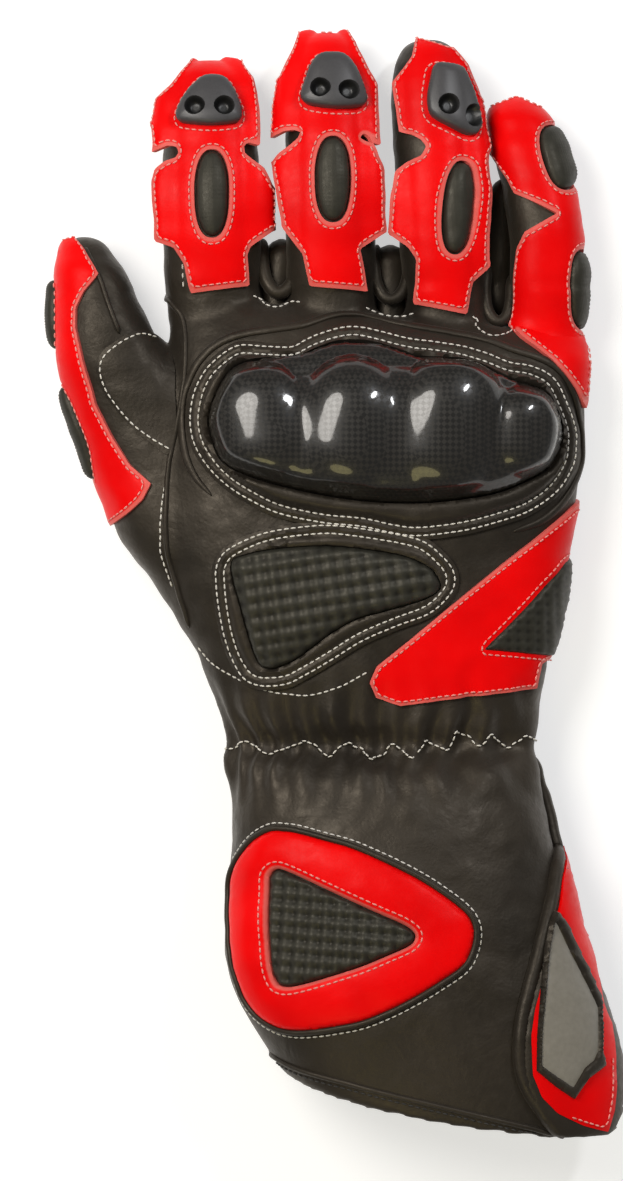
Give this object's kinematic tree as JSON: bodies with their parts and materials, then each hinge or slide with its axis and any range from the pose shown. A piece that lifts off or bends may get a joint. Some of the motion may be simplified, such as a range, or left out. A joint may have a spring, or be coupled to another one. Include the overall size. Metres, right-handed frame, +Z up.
{
  "type": "leather motorcycle glove",
  "caption": "Right-hand gauntlet glove in black and red leather, lying palm down, hollow, with a domed knuckle guard, finger sliders and a closing tab.",
  "frame": {"origin": "on the flat of the palm, where the glove rests, below the middle of the back of the hand", "axes": "+X from the thumb to the little finger, +Y from the cuff to the fingertips, +Z up from the palm to the back of the hand"},
  "size_m": [0.1691, 0.3203, 0.0533],
  "materials": {
    "black_leather": "semi-matt grain",
    "red_leather": "semi-gloss grain",
    "embossed_leather": "embossed weave",
    "carbon_shell": "clear-coated carbon weave",
    "slider_plastic": "satin",
    "plate_grey": "satin"
  },
  "bodies": {
    "root": {"hand": "black_leather", "cuff": "black_leather", "cuff_hem": "black_leather", "cuff_piping": "black_leather", "thumb": "black_leather", "thumb_patch": "black_leather", "tab": "black_leather", "knuckle_roll": "black_leather", "back_roll": "black_leather", "index_finger": "black_leather", "middle_finger": "black_leather", "ring_finger": "black_leather", "little_finger": "black_leather", "index_overlay": "red_leather", "middle_overlay": "red_leather", "ring_overlay": "red_leather", "little_overlay": "red_leather", "little_root": "red_leather", "thumb_overlay": "red_leather", "side_band": "red_leather", "cuff_ring": "red_leather", "tab_inset": "red_leather", "index_pad": "embossed_leather", "middle_pad": "embossed_leather", "ring_pad": "embossed_leather", "little_base_pad": "embossed_leather", "little_tip_pad": "embossed_leather", "thumb_base_pad": "embossed_leather", "thumb_tip_pad": "embossed_leather", "back_pad": "embossed_leather", "side_pad": "embossed_leather", "cuff_triangle": "embossed_leather", "knuckle_guard": "carbon_shell", "index_slider": "slider_plastic", "middle_slider": "slider_plastic", "ring_slider": "slider_plastic", "tab_plate": "plate_grey"}
  },
  "joints": []
}
